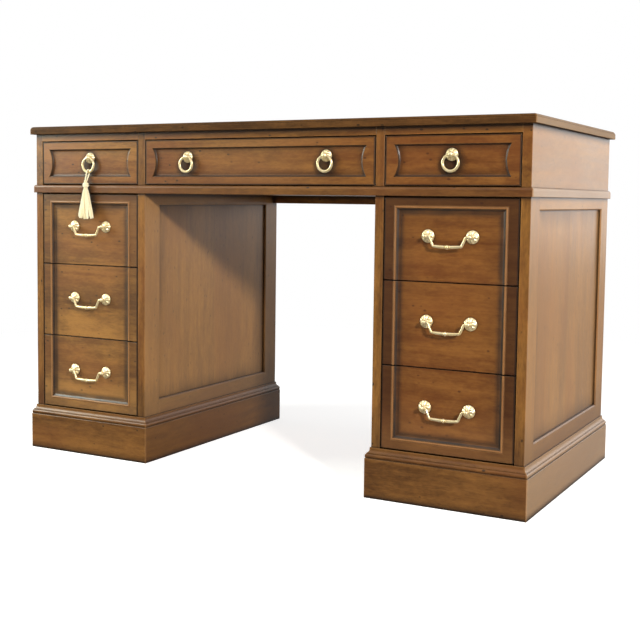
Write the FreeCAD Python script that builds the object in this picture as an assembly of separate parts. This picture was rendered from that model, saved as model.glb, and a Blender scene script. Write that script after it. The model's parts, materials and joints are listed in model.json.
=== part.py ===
import FreeCAD, Part
import math
import os

# A wooden pedestal desk with nine drawers, brass pulls and a tassel on one ring.
# Millimetres. X runs across the desk, the front faces -Y and Z is up.
# The origin is on the floor, under the middle of the whole object, pulls and tassel included.

# The whole desk
top_width = 1220.0
top_depth = 610.0
desk_height = 762.0
top_thickness = 17.5
top_overhang = 10.5

# Cutting aids and fits
overrun = 5.0
edge_ease = 0.8
corner_ease = 1.6
drawer_gap = 2.0
box_clearance = 2.0
stud_clearance = 0.25
pivot_clearance = 0.35
soft_clearance = 0.4

# Moulded edging of the top
edging_width = 46.0
edging_lip = 11.5
edging_quirk = 1.2

# Case boards
case_board = 19.0
pedestal_width = 317.0
frieze_height = 118.0
waist_height = 18.0
waist_overhang = 5.0
waist_lip = 10.0
frieze_rail_height = 16.5
frieze_rail_depth = 40.0
rear_rail_height = 20.5

# Framed sides of the pedestals
stile_width = 58.0
side_top_rail = 25.5
side_bottom_rail = 56.0
panel_thickness = 6.0
panel_setback = 6.0
panel_groove = 9.0
panel_play = 1.0
panel_bevel = 2.5

# Inside of the pedestals
back_thickness = 6.0
back_inset = 2.0
bottom_thickness = 16.0
tie_rail_depth = 60.0
tie_rail_thickness = 17.0
tie_rail_setback = 4.0
runner_width = 20.0
runner_height = 15.0
runner_end_gap = 12.0

# Plinths
plinth_height = 81.0
plinth_board = 18.0
plinth_overhang = 10.5
cap_height = 21.5
cap_width = 10.0
block_side = 36.0
block_lift = 6.0

# Drawer fronts
front_thickness = 20.0
stack_head_gap = 3.0
stack_foot_gap = 2.0
upper_front_height = 162.5
field_depth = 4.0
field_side_margin = 21.5
field_top_margin = 16.0
field_foot_margin = 18.0
bead_width = 14.0
bead_rise = 1.8

# Frieze drawer fronts, whose sunk field has ends that curve inwards
sunk_depth = 5.0
sunk_step = 1.2
sunk_ledge = 1.0
sunk_slope = 5.0
sunk_end_margin = 18.0
sunk_rail_margin = 17.0
sunk_bulge = 9.0
sunk_facets = 5

# Drawer boxes
side_thickness = 12.0
box_end_gap = 50.0
box_foot = 8.0
box_headroom = 6.0
frieze_headroom = 14.0
floor_thickness = 6.0
floor_lift = 9.0
floor_groove = 6.0
floor_play = 0.5
back_drop = 5.0
tail_length = 12.0
tail_width = 22.0
tail_pitch = 34.0
tail_flare = 2.0

# Bail pulls
post_spacing = 91.0
pull_rise = 7.0
rosette_radius = 13.0
rosette_rim = 1.6
rosette_crown = 7.0
rosette_crown_radius = 5.0
petal_notch = 1.5
petal_count = 8
post_neck = 3.4
post_head = 4.5
bail_standoff = 16.0
bail_rod = 2.6
bail_shoulder = 1.0
bail_pin_past = 1.0
bail_pin_room = 1.0
bail_drop = 20.0
bail_neck_bend = 4.0
bail_corner_bend = 3.0
bail_leg_angle = 66.0
bail_sag_angle = 6.0
bail_bead = 4.0
bail_collar = 3.3
bail_collar_width = 1.4
bail_collar_offset = 5.0
stud_radius = 2.0
nut_radius = 5.0
nut_thickness = 4.0

# Ring pulls
ring_radius = 16.0
ring_rod = 2.7
ring_rise = 11.2
ring_standoff = 8.5
ring_rosette = 12.5
ring_crown_radius = 5.5
ring_head = 6.0
centre_ring_inset = 112.5

# Tassel on the left ring
cord_radius = 1.7
cord_ring_gap = 0.6
cord_turn_angle = 64.0
tassel_drop = 23.0
tassel_head_radius = 7.0
tassel_collar_radius = 5.6
tassel_collar_height = 3.0
skirt_length = 71.0
skirt_top_width = 7.4
skirt_top_depth = 6.4
skirt_hem_width = 22.0
skirt_hem_depth = 8.4

# Outlines, as shares of the moulding's own width and height: the mid point of an arc comes before its end
waist_round_shares = (0.8, 0.66, 0.15, 1.0)
cap_shares = (
    ((0.0, 0.0),),
    ((0.86, 0.0),),
    ((0.86, 0.07),),
    ((1.0, 0.24), (0.7, 0.43)),
    ((0.7, 0.5),),
    ((0.62, 0.5),),
    ((0.36, 0.63), (0.22, 0.9)),
    ((0.22, 1.0),),
    ((0.0, 1.0),),
)
bead_shares = (
    ((0.0, 0.0),),
    ((0.0, 0.72),),
    ((-0.03, 0.72),),
    ((-0.18, 1.0), (-0.33, 0.72)),
    ((-0.33, 0.6),),
    ((-0.39, 0.6),),
    ((-0.58, 0.25), (-0.94, 0.08)),
    ((-1.0, 0.08),),
    ((-1.0, 0.0),),
)
skirt_waist_shares = (0.38, 0.34)

# Levels and places worked out from the sizes above
case_width = top_width - 2 * top_overhang
case_depth = top_depth - 2 * top_overhang
case_half = case_width / 2
case_top = desk_height - top_thickness
pull_reach = bail_standoff + post_head - field_depth
tassel_reach = waist_overhang + soft_clearance + tassel_head_radius + skirt_hem_depth
front = (max(pull_reach, tassel_reach) - case_depth - top_overhang) / 2
back = front + case_depth
middle = front + case_depth / 2
pedestal_x = case_half - pedestal_width / 2
knee_half = case_half - pedestal_width
frieze_floor = case_top - frieze_height
frieze_ceiling = case_top - frieze_rail_height
waist_level = frieze_floor - waist_height
cap_top = plinth_height + cap_height
bottom_top = plinth_height + bottom_thickness
stack_top = waist_level - stack_head_gap
stack_foot = cap_top + stack_foot_gap
lower_front_height = (stack_top - stack_foot - upper_front_height - 2 * drawer_gap) / 2
pedestal_opening = pedestal_width - 2 * case_board
centre_opening = 2 * knee_half
centre_ring_offset = knee_half - centre_ring_inset
box_length = case_depth - front_thickness - box_end_gap - case_board
box_head = tie_rail_thickness - stack_head_gap + box_headroom
ring_plane = front + sunk_depth - ring_standoff
bail_plane = front + field_depth - bail_standoff

X = FreeCAD.Vector(1, 0, 0)
Y = FreeCAD.Vector(0, 1, 0)
Z = FreeCAD.Vector(0, 0, 1)
origin = FreeCAD.Vector(0, 0, 0)
right_angle = 90.0


def point(x, y, z):
    return FreeCAD.Vector(x, y, z)


def box(x, y, z):
    """A box from three (low, high) pairs."""
    return Part.makeBox(x[1] - x[0], y[1] - y[0], z[1] - z[0], point(x[0], y[0], z[0]))


def pair(a, b):
    return (min(a, b), max(a, b))


def polygon(points):
    return Part.Wire(Part.makePolygon(points + points[:1]))


def rod(radius, start, direction, length):
    return Part.makeCylinder(radius, length, start, direction)


def ease(shape, pick, size=edge_ease):
    """Chamfers the straight edges whose middle the pick function accepts."""
    edges = [edge for edge in shape.Edges if pick(edge.CenterOfMass)]
    return shape.makeChamfer(size, edges)


def near(value, target):
    return abs(value - target) < edge_ease / 2


def eased_front(x, y, z):
    """A board whose four front edges are eased."""
    return ease(box(x, y, z), lambda at: near(at.y, y[0]))


def section(rows, width, height):
    """A moulding's section as a face: outward offset along -Y and height along Z, from shares."""
    edges = []
    spots = [[point(0, -width * u, height * v) for u, v in row] for row in rows]
    last = spots[0][0]
    for row in spots[1:] + spots[:1]:
        if len(row) == 2:
            edges.append(Part.Arc(last, row[0], row[1]).toShape())
        else:
            edges.append(Part.LineSegment(last, row[0]).toShape())
        last = row[-1]
    return Part.Face(Part.Wire(edges))


def mitred_lengths(width, depth, face, reach_in, reach_out, height, trim=corner_ease):
    """Four mitred lengths round a rectangle that is centred on the origin, from one section face."""
    lengths = []
    for turn in range(4):
        run, away = (width, depth) if turn % 2 == 0 else (depth, width)
        half = run / 2
        start = half + reach_out + overrun
        blank = face.translated(point(-start, 0, 0)).extrude(X * (2 * start))
        cut = min(trim, reach_out)
        right = [
            (half - reach_in, -reach_in),
            (half + reach_out - cut / 2, reach_out - cut / 2),
            (half + reach_out - cut, reach_out),
        ]
        outline = right + [(-u, out) for u, out in reversed(right)]
        if cut == 0:
            outline = [right[0], right[1], (-right[1][0], reach_out), (-right[0][0], -reach_in)]
        plan = polygon([point(u, -out, -overrun) for u, out in outline])
        piece = blank.common(Part.Face(plan).extrude(Z * (height + 2 * overrun)))
        piece.translate(point(0, -away / 2, 0))
        piece.rotate(origin, Z, right_angle * turn)
        lengths.append(piece)
    return lengths


def moved(pieces, x, y, z):
    return [piece.translated(point(x, y, z)) for piece in pieces]


def solids_of(shape):
    return shape.Solids if shape.ShapeType != "Solid" else [shape]


def both_sides(pieces):
    """The pieces and their mirror images across the desk's middle plane."""
    return pieces + [piece.mirror(origin, X) for piece in pieces]


parts = {}


def add(name, pieces):
    parts[name] = [solid for piece in pieces for solid in solids_of(piece)]


def edging_section():
    """Flat edging with an upright lip, a small step and a round up to the top face."""
    outer = top_overhang
    inner = edging_width - top_overhang
    radius = top_thickness - edging_lip
    brow = outer - edging_quirk
    bend = radius * (1 - math.sqrt(0.5))
    at = [(-inner, 0), (outer - edge_ease, 0), (outer, edge_ease), (outer, edging_lip), (brow, edging_lip)]
    spots = [point(0, -out, up) for out, up in at]
    crest = point(0, radius - brow, top_thickness)
    mid = point(0, bend - brow, top_thickness - bend)
    edges = [Part.LineSegment(a, b).toShape() for a, b in zip(spots, spots[1:])]
    edges.append(Part.Arc(spots[-1], mid, crest).toShape())
    heel = point(0, inner, top_thickness)
    edges.append(Part.LineSegment(crest, heel).toShape())
    edges.append(Part.LineSegment(heel, spots[0]).toShape())
    return Part.Face(Part.Wire(edges))


def make_top():
    inset = edging_width - top_overhang
    half = case_half - inset
    panel = box((-half, half), (front + inset, back - inset), (case_top, desk_height))
    edging = mitred_lengths(case_width, case_depth, edging_section(), inset, top_overhang, top_thickness)
    add("desk_top_panel", [panel])
    add("desk_top_edging", moved(edging, 0, middle, case_top))


def waist_section():
    mid_out, mid_up, end_out, end_up = waist_round_shares
    rise = waist_height - waist_lip
    spots = [
        (0, 0),
        (waist_overhang - edge_ease, 0),
        (waist_overhang, edge_ease),
        (waist_overhang, waist_lip),
        (waist_overhang * mid_out, waist_lip + rise * mid_up),
        (waist_overhang * end_out, waist_lip + rise * end_up),
        (0, waist_height),
    ]
    at = [point(0, -out, up) for out, up in spots]
    edges = [Part.LineSegment(a, b).toShape() for a, b in zip(at[:3], at[1:4])]
    edges.append(Part.Arc(at[3], at[4], at[5]).toShape())
    edges.append(Part.LineSegment(at[5], at[6]).toShape())
    edges.append(Part.LineSegment(at[6], at[0]).toShape())
    return Part.Face(Part.Wire(edges))


def make_frieze():
    tall = (frieze_floor, case_top)
    inside = case_half - case_board
    rear = back - case_board
    end = ease(
        box((inside, case_half), (front, back), tall),
        lambda at: near(at.x, case_half) and (near(at.y, front) or near(at.y, back)),
    )
    divider = eased_front((knee_half, knee_half + case_board), (front, rear), tall)
    add("frieze_ends", both_sides([end]))
    add("frieze_dividers", both_sides([divider]))
    add("frieze_back", [box((-inside, inside), (rear, back), tall)])
    rail_y = (front, front + frieze_rail_depth)
    rail_z = (frieze_ceiling, case_top)
    side_rail = box((knee_half + case_board, inside), rail_y, rail_z)
    centre_rail = box((-knee_half, knee_half), rail_y, rail_z)
    add("frieze_front_rails", both_sides([side_rail]) + [centre_rail])
    floor = box((-case_half, case_half), (front, back), (waist_level, frieze_floor))
    add("frieze_bottom_board", [floor])
    waist = mitred_lengths(case_width, case_depth, waist_section(), 0, waist_overhang, waist_height)
    add("waist_moulding", moved(waist, 0, middle, waist_level))
    rear_rail = box((-knee_half, knee_half), (rear, back), (waist_level - rear_rail_height, waist_level))
    add("kneehole_rear_rail", [rear_rail])


def framed_side(outer_x, inner_x):
    """Stiles, rails and panel of one side; outer_x is the face that shows and inner_x the hidden one."""
    sense = 1 if outer_x > inner_x else -1
    thick = pair(outer_x, inner_x)
    low, high = plinth_height, waist_level
    hole_y = (front + stile_width, back - stile_width)
    hole_z = (low + side_bottom_rail, high - side_top_rail)
    stiles = [
        box(thick, (front, hole_y[0]), (low, high)),
        box(thick, (hole_y[1], back), (low, high)),
    ]
    stiles = [
        ease(stile, lambda at: near(at.x, outer_x) and (near(at.y, front) or near(at.y, back)))
        for stile in stiles
    ]
    rails = [box(thick, hole_y, (low, hole_z[0])), box(thick, hole_y, (hole_z[1], high))]
    # The bevel round the opening, and the groove that holds the panel
    wide = [
        point(outer_x, hole_y[i] - panel_bevel * (1 - 2 * i), hole_z[j] - panel_bevel * (1 - 2 * j))
        for i, j in ((0, 0), (1, 0), (1, 1), (0, 1))
    ]
    deep_x = outer_x - sense * panel_bevel
    narrow = [point(deep_x, hole_y[i], hole_z[j]) for i, j in ((0, 0), (1, 0), (1, 1), (0, 1))]
    bevel = Part.makeLoft([polygon(wide), polygon(narrow)], True, True)
    panel_x = pair(outer_x - sense * panel_setback, outer_x - sense * (panel_setback + panel_thickness))
    groove = box(
        panel_x,
        (hole_y[0] - panel_groove, hole_y[1] + panel_groove),
        (hole_z[0] - panel_groove, hole_z[1] + panel_groove),
    )
    reach = panel_groove - panel_play
    panel = box(
        panel_x,
        (hole_y[0] - reach, hole_y[1] + reach),
        (hole_z[0] - reach, hole_z[1] + reach),
    )
    stiles = [stile.cut(bevel).cut(groove) for stile in stiles]
    rails = [rail.cut(bevel).cut(groove) for rail in rails]
    return stiles, rails, panel


def make_pedestals():
    outer = framed_side(case_half, case_half - case_board)
    inner = framed_side(knee_half, knee_half + case_board)
    add("pedestal_stiles", both_sides(outer[0] + inner[0]))
    add("pedestal_side_rails", both_sides(outer[1] + inner[1]))
    add("pedestal_side_panels", both_sides([outer[2], inner[2]]))
    inside = (knee_half + case_board, case_half - case_board)
    back_y = (back - back_inset - back_thickness, back - back_inset)
    add("pedestal_backs", both_sides([box(inside, back_y, (bottom_top, waist_level))]))
    floor = box(inside, (front, back - back_inset), (plinth_height, bottom_top))
    add("pedestal_bottoms", both_sides([floor]))
    tie_y = front + front_thickness + tie_rail_setback
    tie_z = (waist_level - tie_rail_thickness, waist_level)
    ties = [
        box(inside, (tie_y, tie_y + tie_rail_depth), tie_z),
        box(inside, (back_y[0] - tie_rail_depth, back_y[0]), tie_z),
    ]
    add("pedestal_tie_rails", both_sides(ties))
    runner_y = (front + front_thickness + runner_end_gap, back_y[0])
    runners = []
    for low, high in stack_levels():
        runner_z = (max(low + box_foot - runner_height, bottom_top), low + box_foot)
        runners.append(box((inside[0], inside[0] + runner_width), runner_y, runner_z))
        runners.append(box((inside[1] - runner_width, inside[1]), runner_y, runner_z))
    add("drawer_runners", both_sides(runners))


def plinth_section():
    outer = plinth_overhang
    inner = plinth_board - plinth_overhang
    spots = [
        (-inner, 0),
        (outer - edge_ease, 0),
        (outer, edge_ease),
        (outer, plinth_height - edge_ease),
        (outer - edge_ease, plinth_height),
        (-inner, plinth_height),
    ]
    return Part.Face(polygon([point(0, -out, up) for out, up in spots]))


def make_plinths():
    inner = plinth_board - plinth_overhang
    boards = mitred_lengths(
        pedestal_width, case_depth, plinth_section(), inner, plinth_overhang, plinth_height
    )
    caps = mitred_lengths(
        pedestal_width, case_depth, section(cap_shares, cap_width, cap_height), 0, cap_width, cap_height
    )
    add("plinth_boards", both_sides(moved(boards, pedestal_x, middle, 0)))
    add("plinth_cap_mouldings", both_sides(moved(caps, pedestal_x, middle, plinth_height)))
    corner_x = (knee_half + inner, case_half - inner)
    corner_y = (front + inner, back - inner)
    blocks = []
    for x, to_x in ((corner_x[0], block_side), (corner_x[1], -block_side)):
        for y, to_y in ((corner_y[0], block_side), (corner_y[1], -block_side)):
            blocks.append(box(pair(x, x + to_x), pair(y, y + to_y), (block_lift, plinth_height)))
    add("plinth_corner_blocks", both_sides(blocks))


def stack_levels():
    """Low and high levels of the three pedestal drawer fronts, from the top down."""
    levels = []
    high = stack_top
    for height in (upper_front_height, lower_front_height, lower_front_height):
        levels.append((high - height, high))
        high -= height + drawer_gap
    return levels


def drawer_box(x, low, high):
    """Sides with dovetails, floor and back of a drawer; x is the (low, high) pair of its outer faces."""
    start = front + front_thickness
    end = start + box_length
    groove_z = (low + floor_lift, low + floor_lift + floor_thickness)
    count = max(2, int((high - low) // tail_pitch))
    step = (high - low) / count
    sides = []
    tails = []
    for outer, inner in ((x[0], x[0] + side_thickness), (x[1], x[1] - side_thickness)):
        toward = 1 if inner > outer else -1
        board = box(pair(outer, inner), (start, end), (low, high))
        groove_x = pair(inner, inner - toward * floor_groove)
        board = board.cut(box(groove_x, (start - overrun, end + overrun), groove_z))
        for i in range(count):
            level = low + step * (i + 0.5)
            root = tail_width / 2 - tail_flare
            tip = tail_width / 2
            outline = [
                point(outer, start, level - root),
                point(outer, start - tail_length, level - tip),
                point(outer, start - tail_length, level + tip),
                point(outer, start, level + root),
            ]
            tail = Part.Face(polygon(outline)).extrude(X * (toward * side_thickness))
            tails.append(tail)
            board = board.fuse(tail)
        sides.append(board.removeSplitter())
    grip = side_thickness - floor_groove + floor_play
    floor = box((x[0] + grip, x[1] - grip), (start, end), groove_z)
    back_board = box(
        (x[0] + side_thickness, x[1] - side_thickness),
        (end - side_thickness, end),
        (groove_z[1], high - back_drop),
    )
    return sides + [floor, back_board], tails


def cut_all(shape, tools):
    for tool in tools:
        shape = shape.cut(tool)
    return shape


def stud_holes(places, face):
    """Clearance holes through a drawer front for the studs of its pulls."""
    radius = stud_radius + stud_clearance
    length = front_thickness + 2 * overrun
    return [rod(radius, point(x, face - overrun, z), Y, length) for x, z in places]


def frieze_outline(x, z, inset, y):
    """The sunk field's outline: straight along the rails, with ends that bulge inwards."""
    half = (z[1] - z[0]) / 2
    centre_z = (z[0] + z[1]) / 2
    radius = (half * half + sunk_bulge * sunk_bulge) / (2 * sunk_bulge)
    pivot = radius - sunk_bulge
    reach = radius + inset
    rise = half - inset
    corner = math.sqrt(reach * reach - rise * rise) - pivot
    bulge = reach - pivot
    left_low = point(x[0] + corner, y, centre_z - rise)
    left_high = point(x[0] + corner, y, centre_z + rise)
    right_low = point(x[1] - corner, y, centre_z - rise)
    right_high = point(x[1] - corner, y, centre_z + rise)
    edges = [
        Part.LineSegment(left_low, right_low).toShape(),
        Part.Arc(right_low, point(x[1] - bulge, y, centre_z), right_high).toShape(),
        Part.LineSegment(right_high, left_high).toShape(),
        Part.Arc(left_high, point(x[0] + bulge, y, centre_z), left_low).toShape(),
    ]
    return Part.Wire(edges)


def sunk_field(x, z):
    """Solids to cut away for a frieze front's field: a step, then a hollow slope in facets."""
    step = Part.Face(frieze_outline(x, z, 0, front + sunk_step)).extrude(Y * -(sunk_step + overrun))
    cuts = [step]
    previous = None
    for i in range(sunk_facets + 1):
        angle = math.radians(right_angle * i / sunk_facets)
        inset = sunk_ledge + sunk_slope * (1 - math.cos(angle))
        depth = sunk_step + (sunk_depth - sunk_step) * math.sin(angle)
        wire = frieze_outline(x, z, inset, front + depth)
        if previous is not None:
            cuts.append(Part.makeLoft([previous, wire], True, True))
        previous = wire
    return cuts


def rosette(radius, crown_radius):
    """A domed round plate on the plane y = 0, facing -Y, with notches between its petals."""
    spots = [
        (0, 0),
        (radius, 0),
        (radius, -rosette_rim),
        (crown_radius, -rosette_crown),
        (0, -rosette_crown),
    ]
    profile = Part.Face(polygon([point(out, along, 0) for out, along in spots]))
    plate = profile.revolve(origin, Y, 4 * right_angle)
    for i in range(petal_count):
        angle = 2 * math.pi * (i + 0.5) / petal_count
        at = point(radius * math.cos(angle), overrun, radius * math.sin(angle))
        plate = plate.cut(rod(petal_notch, at, Y * -1, rosette_crown + 2 * overrun))
    return plate


def pull_post(radius, crown_radius, standoff, head, neck, grip):
    """A rosette with its neck, ball head and stud, and the nut inside the drawer."""
    post = rosette(radius, crown_radius)
    post = post.fuse(rod(neck, origin, Y * -1, standoff))
    post = post.fuse(Part.makeSphere(head, point(0, -standoff, 0), Y))
    post = post.fuse(rod(stud_radius, origin, Y, grip + nut_thickness)).removeSplitter()
    nut = rod(nut_radius, point(0, grip, 0), Y, nut_thickness)
    hole_start = point(0, grip - overrun, 0)
    nut = nut.cut(rod(stud_radius + stud_clearance, hole_start, Y, nut_thickness + 2 * overrun))
    return post, nut


def bail_path():
    """The bail's centre line in X and Z: pin, neck, leg and corner, the bar, and the same mirrored."""
    lean = math.radians(bail_leg_angle)
    sag = math.radians(bail_sag_angle)
    pin_tip = post_spacing / 2 + bail_pin_past
    shoulder = post_spacing / 2 - post_head - bail_shoulder
    across = shoulder - bail_neck_bend * math.sin(lean)
    across -= bail_corner_bend * (math.sin(lean) - math.sin(sag))
    down = bail_drop - bail_neck_bend * (1 - math.cos(lean))
    down -= bail_corner_bend * (math.cos(sag) - math.cos(lean))
    # The straight leg that meets both the span and the drop
    spread = math.cos(lean) * (1 - math.cos(sag)) - math.sin(lean) * math.sin(sag)
    leg = (across * (1 - math.cos(sag)) - down * math.sin(sag)) / spread
    spot = point(shoulder, 0, 0)
    edges = [Part.LineSegment(point(pin_tip, 0, 0), spot).toShape()]

    def turn(spot, radius, start, end):
        side = 1 if end > start else -1
        centre = spot + point(side * radius * math.sin(start), 0, -side * radius * math.cos(start))
        stops = []
        for angle in ((start + end) / 2, end):
            spoke = point(-radius * math.sin(angle), 0, radius * math.cos(angle))
            stops.append(centre + spoke * side)
        edges.append(Part.Arc(spot, stops[0], stops[1]).toShape())
        return stops[1]

    spot = turn(spot, bail_neck_bend, 0, lean)
    foot = spot + point(-leg * math.cos(lean), 0, -leg * math.sin(lean))
    edges.append(Part.LineSegment(spot, foot).toShape())
    spot = turn(foot, bail_corner_bend, lean, sag)
    bar = Part.Arc(spot, point(0, 0, -bail_drop), point(-spot.x, 0, spot.z)).toShape()
    far_half = [edge.mirror(origin, X) for edge in edges]
    return Part.Wire(Part.__sortEdges__(edges + [bar] + far_half))


def make_bail():
    """The swan-neck bail about its own hinge line, hanging in the plane y = 0."""
    path = bail_path()
    ring = Part.Wire(Part.Circle(path.OrderedVertexes[0].Point, X, bail_rod).toShape())
    bail = path.makePipeShell([ring], True, False)
    bail = bail.fuse(Part.makeSphere(bail_bead, point(0, 0, -bail_drop), X))
    for side in (-1, 1):
        at = point(side * bail_collar_offset - bail_collar_width / 2, 0, -bail_drop)
        bail = bail.fuse(rod(bail_collar, at, X, bail_collar_width))
    return bail.removeSplitter()


def make_pedestal_drawers():
    levels = stack_levels()
    grip = front_thickness - field_depth
    post, nut = pull_post(
        rosette_radius, rosette_crown_radius, bail_standoff, post_head, post_neck, grip
    )
    bore_start = bail_pin_past + bail_pin_room
    bore_length = bore_start + post_head + overrun
    bore = rod(bail_rod + pivot_clearance, point(bore_start, -bail_standoff, 0), X * -1, bore_length)
    right_post = post.cut(bore)
    left_post = right_post.mirror(origin, X)
    bail = make_bail()
    for side, word in ((-1, "left"), (1, "right")):
        centre = side * pedestal_x
        x = (centre - pedestal_opening / 2 + drawer_gap, centre + pedestal_opening / 2 - drawer_gap)
        field_x = (x[0] + field_side_margin, x[1] - field_side_margin)
        field_z = (levels[-1][0] + field_foot_margin, levels[0][1] - field_top_margin)
        field = box(field_x, (front - overrun, front + field_depth), field_z)
        bead = mitred_lengths(
            field_x[1] - field_x[0],
            field_z[1] - field_z[0],
            section(bead_shares, bead_width, field_depth + bead_rise),
            bead_width,
            0,
            field_depth + bead_rise,
        )
        for piece in bead:
            piece.rotate(origin, X, right_angle)
        bead = moved(bead, centre, front + field_depth, (field_z[0] + field_z[1]) / 2)
        for (low, high), row in zip(levels, ("upper", "middle", "lower")):
            name = f"{word}_{row}_drawer"
            level = (low + high) / 2 + pull_rise
            places = [(centre - post_spacing / 2, level), (centre + post_spacing / 2, level)]
            y = (front, front + front_thickness)
            box_x = (x[0] - drawer_gap + box_clearance, x[1] + drawer_gap - box_clearance)
            boards, tails = drawer_box(box_x, low + box_foot, high - box_head)
            board = eased_front(x, y, (low, high)).cut(field)
            board = cut_all(board, tails + stud_holes(places, front))
            span = box((x[0], x[1]), (front - field_depth - bead_rise, y[1]), (low, high))
            strips = [piece.common(span) for piece in bead]
            strips = [strip for strip in strips if strip.Volume > 0]
            add(f"{name}_front", [board] + strips)
            add(f"{name}_box", boards)
            seat = front + field_depth
            posts = [left_post, right_post]
            hardware = []
            for shape, (px, pz) in zip(posts, places):
                hardware.append(shape.translated(point(px, seat, pz)))
                hardware.append(nut.translated(point(px, seat, pz)))
            add(f"{word}_{row}_pull_posts", hardware)
            add(f"{word}_{row}_pull_bail", [bail.translated(point(centre, bail_plane, level))])


def frieze_openings():
    """The frieze drawers: name, middle and width of the opening, and the places of the rings on it."""
    centre_rings = {"centre_left": -centre_ring_offset, "centre_right": centre_ring_offset}
    return (
        ("left", -pedestal_x, pedestal_opening, {"left": 0}),
        ("centre", 0, centre_opening, centre_rings),
        ("right", pedestal_x, pedestal_opening, {"right": 0}),
    )


def ring_level():
    return (frieze_floor + frieze_ceiling) / 2 + ring_rise


def make_frieze_drawers():
    low, high = frieze_floor + drawer_gap, frieze_ceiling - drawer_gap
    grip = front_thickness - sunk_depth
    post, nut = pull_post(ring_rosette, ring_crown_radius, ring_standoff, ring_head, post_neck, grip)
    fall = ring_radius - math.sqrt(ring_radius * ring_radius - ring_head * ring_head)
    bore_half = ring_head + overrun
    bore_start = point(-bore_half, -ring_standoff, 0)
    post = post.cut(rod(ring_rod + fall + pivot_clearance, bore_start, X, 2 * bore_half))
    seat = front + sunk_depth
    level = ring_level()
    for word, centre, opening, rings in frieze_openings():
        x = (centre - opening / 2 + drawer_gap, centre + opening / 2 - drawer_gap)
        y = (front, front + front_thickness)
        places = [(centre + offset, level) for offset in rings.values()]
        field_x = (x[0] + sunk_end_margin, x[1] - sunk_end_margin)
        field_z = (low + sunk_rail_margin, high - sunk_rail_margin)
        box_x = (x[0] - drawer_gap + box_clearance, x[1] + drawer_gap - box_clearance)
        boards, tails = drawer_box(box_x, frieze_floor, high - frieze_headroom)
        board = eased_front(x, y, (low, high))
        board = cut_all(board, sunk_field(field_x, field_z) + tails + stud_holes(places, front))
        add(f"frieze_{word}_drawer_front", [board])
        add(f"frieze_{word}_drawer_box", boards)
        mounts = []
        for px, pz in places:
            mounts.append(post.translated(point(px, seat, pz)))
            mounts.append(nut.translated(point(px, seat, pz)))
        add(f"frieze_{word}_ring_posts", mounts)
        for ring_word, offset in rings.items():
            at = point(centre + offset, ring_plane, level - ring_radius)
            add(f"frieze_{ring_word}_ring", [Part.makeTorus(ring_radius, ring_rod, at, Y)])


def make_tassel():
    """A corded tassel looped round the bottom of the left ring, lying on the waist moulding."""
    knot = point(-pedestal_x, ring_plane, ring_level() - 2 * ring_radius)
    axis_y = front - waist_overhang - soft_clearance - tassel_head_radius
    head_top = knot.z - tassel_drop
    # The cord's loop: round the ring's rod in three turns, then two straight strands to the head
    wrap = ring_rod + cord_ring_gap + cord_radius
    half_turn = math.radians(cord_turn_angle) / 2
    lead = math.radians(right_angle) - 3 * half_turn
    tilt = math.atan2(knot.y - axis_y, tassel_drop)
    reach = math.hypot(knot.y - axis_y, tassel_drop) - soft_clearance - cord_radius * math.tan(tilt)
    spots = []
    for i in range(4):
        angle = lead + 2 * half_turn * i
        spots.append(point(0, wrap * math.cos(angle), wrap * math.sin(angle)))
    mids = []
    for i in range(3):
        angle = lead + 2 * half_turn * i + half_turn
        mids.append(point(0, wrap * math.cos(angle), wrap * math.sin(angle)))
    run = (reach + spots[0].z) / math.cos(lead)
    foot_back = spots[0] + point(0, run * math.sin(lead), -run * math.cos(lead))
    foot_front = spots[3] + point(0, -run * math.sin(lead), -run * math.cos(lead))
    edges = [Part.LineSegment(foot_back, spots[0]).toShape()]
    for i in range(3):
        edges.append(Part.Arc(spots[i], mids[i], spots[i + 1]).toShape())
    edges.append(Part.LineSegment(spots[3], foot_front).toShape())
    path = Part.Wire(edges)
    ring = Part.Wire(Part.Circle(foot_back, spots[0] - foot_back, cord_radius).toShape())
    cord = path.makePipeShell([ring], True, False)
    expected = math.pi * cord_radius * cord_radius * path.Length
    print("cord: radius of turns", round(wrap, 2), "length", round(path.Length, 1))
    print("cord: volume over section times length", round(cord.Volume / expected, 4))
    print("cord: gap between strands at the head", round(foot_back.y - foot_front.y - 2 * cord_radius, 2))
    cord.rotate(origin, X, -math.degrees(tilt))
    add("tassel_cord", [cord.translated(knot)])
    centre = point(knot.x, axis_y, head_top - tassel_head_radius)
    collar_foot = head_top - 2 * tassel_head_radius - tassel_collar_height / 2
    collar = rod(tassel_collar_radius, point(knot.x, axis_y, collar_foot), Z, tassel_collar_height)
    head = Part.makeSphere(tassel_head_radius, centre).fuse(collar).removeSplitter()
    add("tassel_head", [head])
    waist_width = skirt_top_width + (skirt_hem_width - skirt_top_width) * skirt_waist_shares[1]
    waist_depth = skirt_top_depth + (skirt_hem_depth - skirt_top_depth) * skirt_waist_shares[1]
    rings = (
        (0, skirt_top_width, skirt_top_depth),
        (skirt_length * skirt_waist_shares[0], waist_width, waist_depth),
        (skirt_length, skirt_hem_width, skirt_hem_depth),
    )
    hoops = []
    for fall, wide, deep in rings:
        at = point(knot.x, axis_y, collar_foot - fall)
        hoops.append(Part.Wire(Part.Ellipse(at + X * wide, at + Y * deep, at).toShape()))
    add("tassel_skirt", [Part.makeLoft(hoops, True)])


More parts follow.
